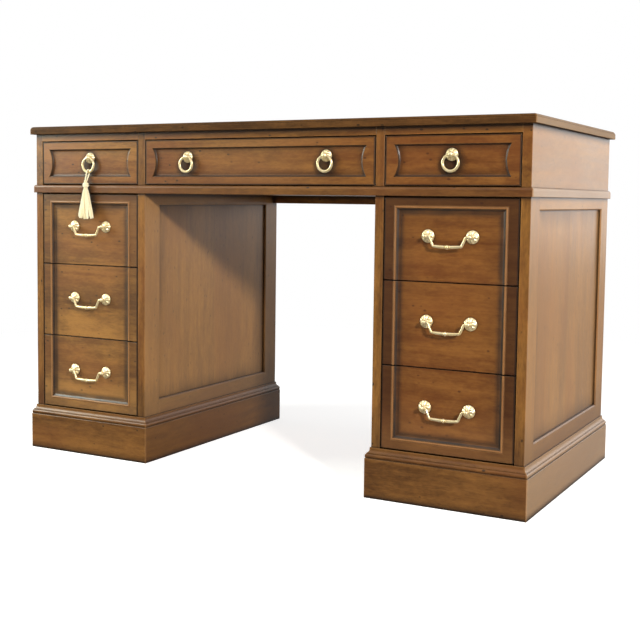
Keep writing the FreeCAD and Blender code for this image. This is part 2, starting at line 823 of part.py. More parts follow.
def export():
    os.makedirs("parts", exist_ok=True)
    for name, solids in parts.items():
        shape = solids[0] if len(solids) == 1 else Part.makeCompound(solids)
        shape.exportStep(f"parts/{name}.step")
    print(len(parts), "nodes,", sum(len(solids) for solids in parts.values()), "solids")
    for name, solids in parts.items():
        for solid in solids:
            if not solid.isValid() or solid.Volume <= 0:
                print("not sound:", name)
    whole = Part.makeCompound([solid for solids in parts.values() for solid in solids]).BoundBox
    print("from", round(whole.XMin, 2), round(whole.YMin, 2), round(whole.ZMin, 2))
    print("to", round(whole.XMax, 2), round(whole.YMax, 2), round(whole.ZMax, 2))


make_top()
make_frieze()
make_pedestals()
make_plinths()
make_pedestal_drawers()
make_frieze_drawers()
make_tassel()
export()
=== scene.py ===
import json
import math
import random
from collections import namedtuple

import bmesh
import bpy
from mathutils import Matrix, Vector


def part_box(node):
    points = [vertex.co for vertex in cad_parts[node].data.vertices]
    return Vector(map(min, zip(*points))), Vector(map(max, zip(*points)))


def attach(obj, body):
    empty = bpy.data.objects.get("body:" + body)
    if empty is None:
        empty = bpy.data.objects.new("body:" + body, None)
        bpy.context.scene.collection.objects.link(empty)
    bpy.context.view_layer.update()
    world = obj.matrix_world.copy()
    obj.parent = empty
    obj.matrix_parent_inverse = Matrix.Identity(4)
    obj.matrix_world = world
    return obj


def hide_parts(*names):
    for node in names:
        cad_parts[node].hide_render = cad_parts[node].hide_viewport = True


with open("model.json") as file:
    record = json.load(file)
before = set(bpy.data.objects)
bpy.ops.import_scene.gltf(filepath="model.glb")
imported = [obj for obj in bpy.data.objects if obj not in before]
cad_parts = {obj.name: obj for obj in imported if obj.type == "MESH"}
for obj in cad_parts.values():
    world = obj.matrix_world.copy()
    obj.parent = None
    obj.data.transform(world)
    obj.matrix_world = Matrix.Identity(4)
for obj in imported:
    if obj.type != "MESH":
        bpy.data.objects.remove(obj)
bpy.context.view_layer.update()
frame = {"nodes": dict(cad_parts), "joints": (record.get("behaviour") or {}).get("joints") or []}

# A wooden pedestal desk: satin walnut finish with painted light and shade, brass pulls and a thread tassel.
# Metres. X runs across the desk, the front faces -Y and Z is up.

ROWS = ("upper", "middle", "lower")
STACK_DRAWERS = [f"{side}_{row}" for side in ("left", "right") for row in ROWS]
RINGS = {"left": ("left",), "centre": ("centre_left", "centre_right"), "right": ("right",)}
seed = 7

# Places read from the frame
pivots = {joint["name"]: Vector(joint["pos_m"]) for joint in frame["joints"] if "pos_m" in joint}
pedestal_x = pivots["right_upper_bail_hinge"].x
case_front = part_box("frieze_dividers")[0].y
case_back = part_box("frieze_back")[1].y
case_middle = (case_front + case_back) / 2
case_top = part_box("frieze_front_rails")[1].z
waist_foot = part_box("waist_moulding")[0].z
plinth_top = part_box("plinth_cap_mouldings")[1].z
stack_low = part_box("right_lower_drawer_front")[0]
stack_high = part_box("right_upper_drawer_front")[1]

# Sizes of the solids that the finish and the pulls follow
front_thickness = 0.02
field_depth = 0.004
field_side_margin = 0.0215
field_top_margin = 0.016
field_foot_margin = 0.018
bead_width = 0.014
sunk_depth = 0.005
panel_tongue = 0.008


def shade(red, green, blue):
    """A colour for a shader from its display values of 0 to 255."""
    linear = []
    for value in (red, green, blue):
        share = value / 255
        linear.append(share / 12.92 if share < 0.04045 else ((share + 0.055) / 1.055) ** 2.4)
    return (*linear, 1.0)


openness_samples = 6


class Graph:
    """A material's node tree, with short ways to add nodes to it."""

    def __init__(self, owner):
        self.owner = owner
        owner.use_nodes = True
        self.tree = owner.node_tree
        self.tree.nodes.clear()

    def add(self, kind, inputs=(), **settings):
        node = self.tree.nodes.new("ShaderNode" + kind)
        for name, value in settings.items():
            setattr(node, name, value)
        for key, value in dict(inputs).items():
            if isinstance(value, bpy.types.NodeSocket):
                self.tree.links.new(value, node.inputs[key])
            else:
                node.inputs[key].default_value = value
        return node

    def math(self, operation, *values):
        return self.add("Math", enumerate(values), operation=operation).outputs[0]

    def minus(self, a, b):
        return self.math("SUBTRACT", a, b)

    def apart(self, a, b):
        return self.math("ABSOLUTE", self.minus(a, b))

    def scaled(self, value, factor, base):
        return self.math("MULTIPLY_ADD", value, factor, base)

    def times(self, product, *factors):
        for factor in factors:
            product = self.math("MULTIPLY", product, factor)
        return product

    def vector(self, operation, *values):
        return self.add("VectorMath", enumerate(values), operation=operation).outputs[0]

    def split(self, point):
        return self.add("SeparateXYZ", {0: point}).outputs[:]

    def join(self, x, y, z):
        return self.add("CombineXYZ", {0: x, 1: y, 2: z}).outputs[0]

    def place(self):
        return self.add("TexCoord").outputs["Object"]

    def spot(self):
        """The point's X, Y and Z."""
        return self.split(self.place())

    def normal(self):
        """The three parts of the direction that the surface faces."""
        return self.split(self.add("NewGeometry").outputs["Normal"])

    def ramp(self, value, low, high, start=0.0, end=1.0):
        inputs = {0: value, 1: low, 2: high, 3: start, 4: end}
        return self.add("MapRange", inputs, interpolation_type="SMOOTHSTEP").outputs[0]

    def mix(self, factor, a, b):
        return self.add("Mix", {0: factor, 6: a, 7: b}, data_type="RGBA").outputs[2]

    def fade(self, value, start, end, strength):
        return self.ramp(value, start, end, 0.0, strength)

    def tint(self, colour, tone, value, *fade):
        """Mixes a tone into a colour, from none at a value's start to its full strength at the end."""
        return self.mix(self.fade(value, *fade), colour, tone)

    def noise(self, point, scale, detail=2.0, roughness=0.5, distortion=0.0):
        inputs = {"Vector": self.vector("MULTIPLY", point, scale), "Scale": 1.0, "Detail": detail}
        inputs.update({"Roughness": roughness, "Distortion": distortion})
        return self.add("TexNoise", inputs).outputs[0]

    def patches(self, repeats, low, high, least):
        """Soft patches between a least value and 1; repeats is how many lie along a metre."""
        return self.ramp(self.noise(self.place(), (repeats,) * 3), low, high, least)

    def openness(self, distance, inside=False):
        """How open the surface is to its surroundings within a distance: 1 on a flat face."""
        node = self.add("AmbientOcclusion", {"Distance": distance}, inside=inside, samples=openness_samples)
        return node.outputs["AO"]

    def bump(self, height, strength, distance, normal=None):
        inputs = {"Strength": strength, "Distance": distance, "Height": height}
        if normal:
            inputs["Normal"] = normal
        return self.add("Bump", inputs).outputs[0]

    def surface(self, inputs):
        shader = self.add("BsdfPrincipled", inputs)
        self.add("OutputMaterial", {"Surface": shader.outputs[0]})
        return self.owner


def new_graph(name):
    return Graph(bpy.data.materials.new(name))


# Wood: its colours, its roughness, and the strength of its sheen
Tones = namedtuple("Tones", "light dark red glaze worn faded roughness sheen")
walnut_red = shade(119, 63, 24)
# A glaze for pores and flecks, also used as painted shade in recesses, under overhangs and along seams
walnut_glaze_and_shade = shade(36, 25, 18)
# The drawers' dark border: a stain, painted stronger where shade falls
walnut_border_stain_and_shade = shade(50, 26, 13)
# A light line for the moulding's crest: wear and a painted highlight
walnut_crest_wear_and_glint = shade(176, 124, 74)
# Painted light: a pale tone that stands in for glare and for more light falling on a face
walnut_painted_light = shade(194, 151, 100)
# Painted glare for the right sides of the mouldings and plinths
walnut_painted_glare = shade(206, 182, 152)
# Painted shade for the moulding's slope and quirk and for the frame over the plinths
walnut_smoky_shade = shade(46, 38, 33)
deep_light = shade(138, 92, 42)
edge_light = shade(114, 77, 41)
poplar_light = shade(206, 172, 122)
# A stain for the poplar's blotches, pores and flecks, also used as painted shade in its recesses
poplar_stain_and_shade = shade(150, 112, 74)
# Each wood's worn tone lightens its edges: wear and a painted glint
walnut = Tones(
    light=shade(154, 105, 46), dark=shade(90, 54, 21), red=walnut_red, glaze=walnut_glaze_and_shade,
    worn=shade(184, 134, 78), faded=walnut_painted_light, roughness=0.38, sheen=1.0,
)
top_walnut = walnut._replace(roughness=0.60, sheen=0.15)
deep_walnut = walnut._replace(
    light=deep_light, dark=shade(82, 50, 21), red=shade(104, 56, 23), faded=deep_light,
)
edge_walnut = walnut._replace(
    light=edge_light, dark=shade(67, 44, 23), red=shade(87, 52, 26), faded=edge_light,
    roughness=0.56, sheen=0.15,
)
poplar = Tones(
    light=poplar_light, dark=shade(172, 133, 86), red=poplar_stain_and_shade, glaze=poplar_stain_and_shade,
    worn=poplar_light, faded=poplar_light, roughness=0.58, sheen=1.0,
)

# Grain: for each layer, how many times a metre it repeats along and across the grain, and then the
# detail, roughness and distortion of its noise. Here and below, a tint is its start, end and strength,
# and limits are a start and an end, with the values there where they aren't 0 and 1
grain_layers = {
    "figure": ((1.5, 15.0, 15.0), 3.0, 0.55, 0.6),
    "streak": ((4.0, 85.0, 85.0), 3.0, 0.6, 0.0),
    "fibre": ((16.0, 620.0, 620.0), 2.0, 0.6, 0.0),
    "pores": ((70.0, 1500.0, 1500.0), 1.0, 0.5, 0.0),
    "blotch": ((3.0, 6.0, 6.0), 3.0, 0.55, 0.0),
    "mottle": ((20.0, 64.0, 64.0), 2.0, 0.6, 0.4),
    "speckle": ((90.0, 240.0, 240.0), 2.0, 0.6, 0.0),
}
band_shares = {"figure": 0.36, "streak": 0.22, "mottle": 0.20, "speckle": 0.14, "fibre": 0.08}
band_spread = 0.14
panel_spread = 0.12
front_spread = 0.11
blotch_tint = (0.42, 0.68, 0.5)
pore_limits = (0.60, 0.72)
pore_strength = 0.34
fleck_scale = (38.0, 60.0, 60.0)
fleck_tint = (0.17, 0.08, 0.85)
fleck_chance = 0.52

# Boards: how far the grain moves from board to board, and how it sways along a board
random_shift = 9.7
side_shift = 3.3
inner_shift = 1.9
depth_shift = 2.6
mitre_shift = 5.1
axis_shares = (1.0, 1.3, 0.7)
sway_scale = (1.1, 5.0, 5.0)
sway_width = 0.05

# Surface: painted glare on the sides, painted shade in recesses, edges lightened by wear and a painted
# glint, eased edges, and the grain's relief as strength and depth
right_glare_tint = (0.5, 0.9, 0.38)
left_glare_tint = (-0.5, -0.9, 0.12)
recess_reach = 0.018
recess_shade_tint = (0.96, 0.5, 0.94)
worn_glint_reach = 0.0025
worn_glint_tint = (0.80, 0.45, 0.25)
eased_radius = 0.0008
eased_samples = 4
streak_roughness = 0.12
blotch_roughness = 0.10
streak_height = 0.5
pore_depth = 0.6
grain_bump = (0.12, 0.0006)
specular_level = 0.38
coat_weight = 0.12
coat_roughness = 0.22


def side_share(graph, x, y, half, middle_x):
    """1 where a mitred frame's side lengths are, and 0 on its front and back lengths."""
    out_x = graph.minus(graph.apart(graph.math("ABSOLUTE", x), middle_x), half[0])
    out_y = graph.minus(graph.apart(y, case_middle), half[1])
    return graph.math("GREATER_THAN", out_x, out_y)


def board_shift(graph, signs):
    """A number that differs from board to board, so that no two have the same grain."""
    shift = graph.times(graph.add("ObjectInfo").outputs["Random"], random_shift)
    for value, step in signs:
        shift = graph.scaled(graph.math("SIGN", value), step, shift)
    return shift


def board_place(graph, grain, paired, half, middle_x):
    """The point in a board's own directions: along the grain, then the two ways across it."""
    x, y, z = graph.spot()
    inner = graph.minus(graph.math("ABSOLUTE", x), pedestal_x)
    deep = graph.minus(y, case_middle)
    if grain == "mitred":
        side = side_share(graph, x, y, half, middle_x)
        along = graph.scaled(side, graph.minus(y, x), x)
        across = graph.scaled(side, graph.minus(x, y), y)
        axes = (along, across, z)
        turned = graph.scaled(side, graph.minus(inner, deep), deep)
        signs = [(x, side_shift), (turned, depth_shift)]
    else:
        axes = {"X": (x, y, z), "Y": (y, z, x), "Z": (z, x, y)}[grain]
        signs = [(x, side_shift), (inner, inner_shift)]
        if grain == "Z":
            signs.append((deep, depth_shift))
    shift = board_shift(graph, signs if paired else ())
    if grain == "mitred":
        shift = graph.scaled(side, mitre_shift, shift)
    shifted = []
    for axis, share in zip(axes, axis_shares):
        shifted.append(graph.scaled(shift, share, axis))
    point = graph.join(*shifted)
    sway = graph.scaled(graph.noise(point, sway_scale), sway_width, -sway_width / 2)
    return graph.vector("ADD", point, graph.join(0.0, sway, sway))


# Painted light and shade on the case: bands of painted shadow under the top and the waist moulding as upper
# level, reach down and strength; painted shade on the stiles and rails over the plinths; the mouldings,
# with sides as test of x, level, strength and tone (painted glare on the right, painted shade in the
# kneehole), and painted shade in their steps and by the floor; painted shade round the pedestals' panels
case_bands = ((case_top, 0.017, 0.72), (waist_foot, 0.010, 0.6))
frame_tint = (0.110, 0.0, 0.36)
side_facing = (0.3, 0.8)
moulding_sides = (("GREATER_THAN", pedestal_x, 0.32, walnut_painted_glare), ("LESS_THAN", 0.0, 0.28, walnut_glaze_and_shade))
step_reach = 0.006
step_tint = (0.92, 0.60, 0.85)
floor_tint = (0.007, 0.0, 0.75)
panel_tint = (0.045, 0.0, 0.42)
panel_patches = (9.0, 0.3, 0.7, 0.5)


def band_shade(graph, colour):
    """Painted shadow on the case right under the top and under the waist moulding."""
    z = graph.spot()[2]
    for level, reach, strength in case_bands:
        below = graph.minus(level, z)
        band = graph.fade(below, reach, 0.0, strength)
        band = graph.times(band, graph.math("GREATER_THAN", below, 0.0))
        colour = graph.mix(band, colour, walnut_glaze_and_shade)
    return colour


def frame_shade(graph, colour):
    """Stiles and rails: the case's bands of painted shadow, and painted shade that fades up from the
    plinth.
    """
    above = graph.minus(graph.spot()[2], plinth_top)
    colour = graph.tint(colour, walnut_smoky_shade, above, *frame_tint)
    return band_shade(graph, colour)


def moulding_shade(graph, colour):
    """Mouldings and plinths: painted glare on the right, painted shade in the kneehole, in the steps and by
    the floor.
    """
    x, _, z = graph.spot()
    facing = graph.ramp(graph.normal()[0], *side_facing)
    for test, level, strength, tone in moulding_sides:
        share = graph.times(facing, graph.math(test, x, level), strength)
        colour = graph.mix(share, colour, tone)
    colour = graph.tint(colour, walnut_glaze_and_shade, graph.openness(step_reach), *step_tint)
    return graph.tint(colour, walnut_glaze_and_shade, z, *floor_tint)


def panel_shade(graph, colour):
    """Painted shade that fades away from the edges of a pedestal's panels, in patches."""
    _, y, z = graph.spot()
    low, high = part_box("pedestal_side_panels")
    insets = []
    for value, start, end in ((y, low.y, high.y), (z, low.z, high.z)):
        off = graph.apart(value, (start + end) / 2)
        insets.append(graph.minus((end - start) / 2 - panel_tongue, off))
    edge = graph.fade(graph.math("MINIMUM", *insets), *panel_tint)
    edge = graph.times(edge, graph.patches(*panel_patches))
    return band_shade(graph, graph.mix(edge, colour, walnut_glaze_and_shade))


# Painted light and shade on the drawer fronts: redder and darker to the right as painted shade, lighter to
# the left and at the foot as painted light; painted shadow inside the moulding, painted shade on its slope;
# a dark border round it, a stain painted stronger where shade falls; its crest (wear and a painted
# highlight) and its quirk (painted shade) as inset, half width, strength and tone; painted shade along the
# seams as width and strength; the frieze drawers' fields
stack_blend = 0.2
stack_right_shade = (-stack_blend, stack_blend, 0.42)
stack_left_light = (stack_blend, -stack_blend, 0.10)
foot_tint = (0.12, 0.0, 0.14)
stack_patches = (24.0, 0.25, 0.75, 0.6)
field_shadow_tint = (0.065, bead_width, 0.22)
slope_shade_inside = 0.010
slope_shade_outside = 0.002
slope_shade_strength = 0.74
border_limits = (0.002, -0.001)
border_sides = (-stack_blend, stack_blend, 0.20, 0.66)
border_foot = (0.0, 0.10, 0.4)
quirk_inset = 0.0070
bead_lines = ((0.0026, 0.0027, 0.62, walnut_crest_wear_and_glint), (quirk_inset, 0.0014, 0.95, walnut_smoky_shade))
line_softness = 1.6
front_facing = (-0.3, -0.7)
edge_seam = (0.0020, 0.8)
row_seam = (0.0006, 0.4)
frieze_seam = (0.0020, 0.85)
frieze_right_shade = (-0.2, 0.4, 0.35)
centre_painted_light = 0.13
slope_tint = (0.03, 0.16, 0.7)
sunk_tint = (0.3, 0.8, 0.75)
corner_limits = (0.99, 0.82)


def seam_shade(graph, colour, distance, width, strength):
    """Painted shade along the edges of a drawer front's face; distance is how far a point is from an edge.
    """
    line = graph.fade(distance, 2 * width, width / 2, strength)
    line = graph.times(line, graph.ramp(graph.normal()[1], *front_facing))
    return graph.mix(line, colour, walnut_glaze_and_shade)


def field_shade(graph, colour, x, inset, inset_upper, inset_foot):
    """Painted shadow and shade inside a stack's frame moulding, the border round it and the lines along it.
    """
    patches = graph.patches(*stack_patches)
    # Painted shadow along the field's top and sides, in patches
    field_shadow = graph.fade(inset_upper, *field_shadow_tint)
    colour = graph.mix(graph.times(field_shadow, patches), colour, walnut_glaze_and_shade)
    # Painted shade on the moulding's slope
    slope_shade = graph.fade(inset, bead_width + slope_shade_inside, bead_width - slope_shade_outside, slope_shade_strength)
    slope_shade = graph.times(slope_shade, graph.ramp(inset, 0.0, quirk_inset), patches)
    colour = graph.mix(slope_shade, colour, walnut_smoky_shade)
    # The dark border: a stain, painted stronger to the right and weaker at the foot as shade and light fall
    border = graph.times(
        graph.ramp(inset, *border_limits),
        graph.ramp(x, *border_sides),
        graph.ramp(inset_foot, *border_foot),
    )
    colour = graph.mix(border, colour, walnut_border_stain_and_shade)
    # Lines along the moulding: wear and a painted highlight on its crest, painted shade in its quirk
    for middle, half, strength, tone in bead_lines:
        away = graph.apart(inset, middle)
        line = graph.fade(away, line_softness * half, half, strength)
        colour = graph.mix(graph.times(line, patches), colour, tone)
    return colour


def stack_shade(graph, colour):
    """Shading of a pedestal's drawer fronts; insets are distances inwards from the moulding's edge."""
    x, _, z = graph.spot()
    # Painted shade: redder and darker to the right; painted light to the left and at the foot
    colour = graph.tint(colour, walnut_red, x, *stack_right_shade)
    colour = graph.tint(colour, walnut_painted_light, x, *stack_left_light)
    above = graph.minus(z, stack_low.z)
    colour = graph.tint(colour, walnut_painted_light, above, *foot_tint)
    off_x = graph.apart(graph.math("ABSOLUTE", x), pedestal_x)
    stack_half = (stack_high.x - stack_low.x) / 2
    inset_x = graph.minus(stack_half - field_side_margin, off_x)
    inset_foot = graph.minus(z, stack_low.z + field_foot_margin)
    inset_top = graph.minus(stack_high.z - field_top_margin, z)
    inset_upper = graph.math("MINIMUM", inset_x, inset_top)
    inset = graph.math("MINIMUM", inset_upper, inset_foot)
    colour = field_shade(graph, colour, x, inset, inset_upper, inset_foot)
    # Painted shade along the seams round the drawer fronts
    edge = graph.minus(stack_half, off_x)
    colour = seam_shade(graph, colour, edge, *edge_seam)
    for row in ROWS:
        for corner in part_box(f"right_{row}_drawer_front"):
            colour = seam_shade(graph, colour, graph.apart(z, corner.z), *row_seam)
    return band_shade(graph, colour)


def frieze_shade(graph, colour):
    """Painted light and shade on a frieze drawer front: darker to the right, lighter in the middle, and
    painted shade along its edges and on the slopes and in the corners of its sunk field.
    """
    x, y, z = graph.spot()
    depth = graph.math("DIVIDE", graph.minus(y, case_front), sunk_depth)
    slope = graph.times(depth, graph.minus(1.0, depth))
    # Painted shade: redder and darker to the right; painted light in the middle
    colour = graph.tint(colour, walnut_red, x, *frieze_right_shade)
    centre_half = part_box("frieze_centre_drawer_front")[1].x
    colour = graph.tint(colour, walnut_painted_light, graph.math("ABSOLUTE", x), centre_half, 0.0, centre_painted_light)
    # Painted shade on the sunk field's slopes and in its corners
    colour = graph.tint(colour, walnut_glaze_and_shade, slope, *slope_tint)
    sunk = graph.fade(depth, *sunk_tint)
    corner = graph.times(graph.ramp(graph.openness(recess_reach), *corner_limits), sunk)
    colour = graph.mix(corner, colour, walnut_glaze_and_shade)
    # Painted shade along the seams round the drawer fronts
    low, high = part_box("frieze_right_drawer_front")
    distance = graph.math("MINIMUM", graph.minus(z, low.z), graph.minus(high.z, z))
    for edge in (centre_half, low.x, high.x):
        seam = graph.apart(graph.math("ABSOLUTE", x), edge)
        distance = graph.math("MINIMUM", distance, seam)
    return seam_shade(graph, colour, distance, *frieze_seam)


def grain_colour(graph, layers, pores, tones, spread):
    """Bands between the light and the dark tone, with red blotches and dark pores."""
    bands = 0.0
    for layer, share in band_shares.items():
        bands = graph.scaled(layers[layer], share, bands)
    colour = graph.mix(graph.ramp(bands, 0.5 - spread, 0.5 + spread), tones.dark, tones.light)
    colour = graph.tint(colour, tones.red, layers["blotch"], *blotch_tint)
    return graph.mix(graph.times(pores, pore_strength), colour, tones.glaze)


def fleck_colour(graph, colour, point, tone):
    """Small dark flecks in some of the cells that the wood is divided into."""
    cells = graph.add("TexVoronoi", {"Vector": graph.vector("MULTIPLY", point, fleck_scale), "Scale": 1.0})
    chance = graph.split(cells.outputs["Color"])[0]
    fleck = graph.fade(cells.outputs["Distance"], *fleck_tint)
    return graph.mix(graph.times(fleck, graph.math("LESS_THAN", chance, fleck_chance)), colour, tone)


def paint_side_glare(graph, colour, tone):
    """Painted glare: a pale tone on the faces that look to the right, and a little of it on those to the
    left.
    """
    sideways = graph.normal()[0]
    colour = graph.tint(colour, tone, sideways, *right_glare_tint)
    return graph.tint(colour, tone, sideways, *left_glare_tint)


def wood(
    name, grain, tones, paired=False, half=None, middle_x=0.0,
    shading=None, spread=band_spread, worn=True,
):
    """A board's finish: grain, flecks, painted light and shade, painted shade in its recesses and edges
    lightened by wear and a painted glint.
    """
    graph = new_graph(name)
    point = board_place(graph, grain, paired, half, middle_x)
    layers = {layer: graph.noise(point, *settings) for layer, settings in grain_layers.items()}
    pores = graph.ramp(layers["pores"], *pore_limits)
    colour = grain_colour(graph, layers, pores, tones, spread)
    colour = fleck_colour(graph, colour, point, tones.glaze)
    # Painted glare on the faces turned sideways
    colour = paint_side_glare(graph, colour, tones.faded)
    if shading:
        colour = shading(graph, colour)
    # Painted shade in the recesses
    colour = graph.tint(colour, tones.glaze, graph.openness(recess_reach), *recess_shade_tint)
    # Edges lightened by wear and a painted glint
    if worn:
        colour = graph.tint(colour, tones.worn, graph.openness(worn_glint_reach, True), *worn_glint_tint)
    smoothest = tones.roughness - (streak_roughness + blotch_roughness) / 2
    rough = graph.scaled(layers["streak"], streak_roughness, smoothest)
    rough = graph.scaled(layers["blotch"], blotch_roughness, rough)
    height = graph.scaled(layers["streak"], streak_height, layers["fibre"])
    height = graph.scaled(pores, -pore_depth, height)
    eased = graph.add("Bevel", {"Radius": eased_radius}, samples=eased_samples).outputs[0]
    inputs = {
        "Base Color": colour,
        "Roughness": rough,
        "Normal": graph.bump(height, *grain_bump, eased),
        "Specular IOR Level": specular_level * tones.sheen,
        "Coat Weight": coat_weight * tones.sheen,
        "Coat Roughness": coat_roughness,
    }
    return graph.surface(inputs)


def box_half(node):
    """Half a node's width and depth, which tells a mitred frame's sides from its front and back."""
    low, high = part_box(node)
    return ((high.x - low.x) / 2, (high.y - low.y) / 2)


def dress_case(finish, inner):
    """Finishes of the top, the frieze, the pedestals and the plinths."""
    plain = wood("walnut_plain", "X", walnut, shading=band_shade)
    upright = wood("walnut_upright", "Z", walnut, paired=True, shading=frame_shade)
    lying = wood("walnut_lying", "Y", walnut, paired=True, shading=frame_shade)
    panel = wood("walnut_panel", "Z", walnut, paired=True, shading=panel_shade, spread=panel_spread)
    finish["desk_top_panel"] = wood("walnut_top", "X", top_walnut)
    for nodes, material in (
        (("frieze_front_rails", "frieze_bottom_board", "kneehole_rear_rail", "frieze_back"), plain),
        (("pedestal_stiles", "frieze_dividers"), upright),
        (("pedestal_side_rails", "frieze_ends"), lying),
        (("pedestal_side_panels", "pedestal_backs"), panel),
        (("pedestal_tie_rails",), inner["X"]),
        (("pedestal_bottoms", "drawer_runners"), inner["Y"]),
        (("plinth_corner_blocks",), inner["Z"]),
    ):
        for node in nodes:
            finish[node] = material
    for node, tones in (("desk_top_edging", edge_walnut), ("waist_moulding", deep_walnut)):
        finish[node] = wood("walnut_" + node, "mitred", tones, half=box_half(node), shading=moulding_shade)
    for node in ("plinth_boards", "plinth_cap_mouldings"):
        half = (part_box(node)[1].x - pedestal_x, box_half(node)[1])
        finish[node] = wood("walnut_" + node, "mitred", deep_walnut, True, half, pedestal_x, moulding_shade)


def dress_wood():
    """Gives every wooden node its finish, with the grain along its boards."""
    finish = {}
    inner = {grain: wood(f"poplar_{grain.lower()}", grain, poplar, paired=True) for grain in "XYZ"}
    dress_case(finish, inner)
    boxes = wood("poplar_drawer", "Y", poplar)
    stack = wood("walnut_stack_front", "X", walnut, shading=stack_shade, spread=front_spread, worn=False)
    frieze = wood("walnut_frieze_front", "X", walnut, shading=frieze_shade, spread=front_spread)
    for drawer in STACK_DRAWERS:
        finish[f"{drawer}_drawer_front"] = stack
        finish[f"{drawer}_drawer_box"] = boxes
    for word in RINGS:
        finish[f"frieze_{word}_drawer_front"] = frieze
        finish[f"frieze_{word}_drawer_box"] = boxes
    for node, material in finish.items():
        for slot in frame["nodes"][node].material_slots:
            slot.material = material


# Brass and thread: colours, the fine noise on them as in the grain's layers, and dark recesses: tarnish on
# the brass and painted shade between the threads
brass_bright = shade(253, 235, 191)
brass_dull = shade(245, 220, 161)
brass_dark = shade(164, 138, 80)
brass_metallic = 0.6
dull_noise = ((140.0, 140.0, 140.0), 4.0, 0.6)
dull_limits = (0.35, 0.7)
mark_scale = (900.0, 900.0, 2600.0)
mark_bump = (0.06, 0.0004)
dull_roughness = (0.3, 0.7, 0.28, 0.40)
thread_shaded = shade(242, 226, 176)
thread_bright = shade(254, 248, 222)
thread_fuzz = shade(228, 204, 146)
thread_painted_shade = shade(190, 158, 98)
fuzz_noise = ((2400.0, 2400.0, 500.0), 3.0)
fuzz_tint = (0.5, 0.75, 0.2)
fuzz_bump = (0.35, 0.0003)
thread_roughness = 0.72
thread_sheen = 0.3
fine_reach = 0.003
brass_recess = (0.85, 0.35, 0.6)
thread_recess_shade = (0.85, 0.3, 0.6)


def brass():
    """Lacquered brass, a little dull in places and darker where polish doesn't reach."""
    graph = new_graph("brass")
    point = graph.place()
    dull = graph.noise(point, *dull_noise)
    marks = graph.noise(point, mark_scale)
    colour = graph.mix(graph.ramp(dull, *dull_limits), brass_bright, brass_dull)
    inputs = {
        "Base Color": graph.tint(colour, brass_dark, graph.openness(fine_reach), *brass_recess),
        "Metallic": brass_metallic,
        "Roughness": graph.ramp(dull, *dull_roughness),
        "Normal": graph.bump(marks, *mark_bump),
    }
    return graph.surface(inputs)


def thread():
    """Soft cream thread whose tone varies from strand to strand, with painted shade in its recesses."""
    graph = new_graph("tassel_thread")
    tint = graph.add("Attribute", attribute_name="tint").outputs["Fac"]
    fuzz = graph.noise(graph.place(), *fuzz_noise)
    colour = graph.mix(tint, thread_shaded, thread_bright)
    colour = graph.tint(colour, thread_fuzz, fuzz, *fuzz_tint)
    inputs = {
        # Painted shade where the threads crowd together
        "Base Color": graph.tint(colour, thread_painted_shade, graph.openness(fine_reach), *thread_recess_shade),
        "Roughness": thread_roughness,
        "Normal": graph.bump(fuzz, *fuzz_bump),
        "Sheen Weight": thread_sheen,
    }
    return graph.surface(inputs)


def turns(count):
    """The angles of a full turn in even steps."""
    return [2 * math.pi * i / count for i in range(count)]


def moved(rings, offset):
    return [[point + offset for point in ring] for ring in rings]


def skin(mesh, rings, loop=False):
    """Joins rings of as many points each into one closed skin."""
    rows = [[mesh.verts.new(point) for point in ring] for ring in rings]
    count = len(rows[0])
    pairs = list(zip(rows, rows[1:]))
    if loop:
        pairs.append((rows[-1], rows[0]))
    for low, high in pairs:
        for i in range(count):
            j = (i + 1) % count
            mesh.faces.new((low[i], low[j], high[j], high[i]))
    if not loop:
        mesh.faces.new(list(reversed(rows[0])))
        mesh.faces.new(rows[-1])


def heading(points, i):
    """The direction of a line of points at one of them."""
    return points[min(i + 1, len(points) - 1)] - points[max(i - 1, 0)]


def tube(points, radii, sides, across):
    """Rings of points round a line. The across direction is never along the line."""
    rings = []
    for i, (point, radius) in enumerate(zip(points, radii)):
        ahead = heading(points, i)
        side = ahead.cross(across).normalized()
        up = side.cross(ahead).normalized()
        rings.append([point + (side * math.cos(a) + up * math.sin(a)) * radius for a in turns(sides)])
    return rings


def new_object(name, data):
    """Puts a new object into the scene."""
    made = bpy.data.objects.new(name, data)
    bpy.context.scene.collection.objects.link(made)
    return made


def mesh_object(name, mesh, material):
    data = bpy.data.meshes.new(name)
    mesh.to_mesh(data)
    mesh.free()
    data.materials.append(material)
    return new_object(name, data)


sharp_angle = math.radians(50)


def piece(name, mesh, material, body, node):
    """Makes the object that stands for a node and rides on its body."""
    bmesh.ops.recalc_face_normals(mesh, faces=mesh.faces)
    made = mesh_object(name, mesh, material)
    made.data.shade_smooth()
    made.data.set_sharp_from_angle(angle=sharp_angle)
    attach(made, body)
    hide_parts(node)
    return made


# Brass posts. A collar's rings are shares of the neck's radius and heights over the rosette's crown, a
# stem's are shares of the neck's radius and the stem's length, and a nub's are shares of its radius
post_spacing = 0.091
post_sides = 96
rosette_radius = 0.0132
ring_rosette_radius = 0.0126
rosette_rim = 0.0018
rosette_crown = 0.0072
rosette_steps = 16
rosette_step_share = 0.04
dome_power = 2.2
petals = 8
petal_scallop_share = 0.035
petal_groove = 0.0007
groove_start_share = 0.4
groove_gain = 2.2
groove_power = 1.5
stud_radius = 0.002
nut_radius = 0.005
nut_thickness = 0.004
nut_chamfer = 0.0006
nut_sides = 6
nut_steps = 36
bail_standoff = 0.016
bail_head = 0.0046
ring_standoff = 0.0085
ring_head = 0.0061
neck_share = 0.56
head_start_share = 0.95
nub_share = 0.24
ball_steps = 18
post_collar = ((1.22, 0.0002), (1.22, 0.0009), (0.92, 0.0016))
post_stem_shares = ((0.80, 0.45), (0.88, 0.70), (1.12, 0.80), (1.12, 0.90))
shortest_stem = 0.004
nub_shares = ((0.7, 0.14), (0.1, 0.18))


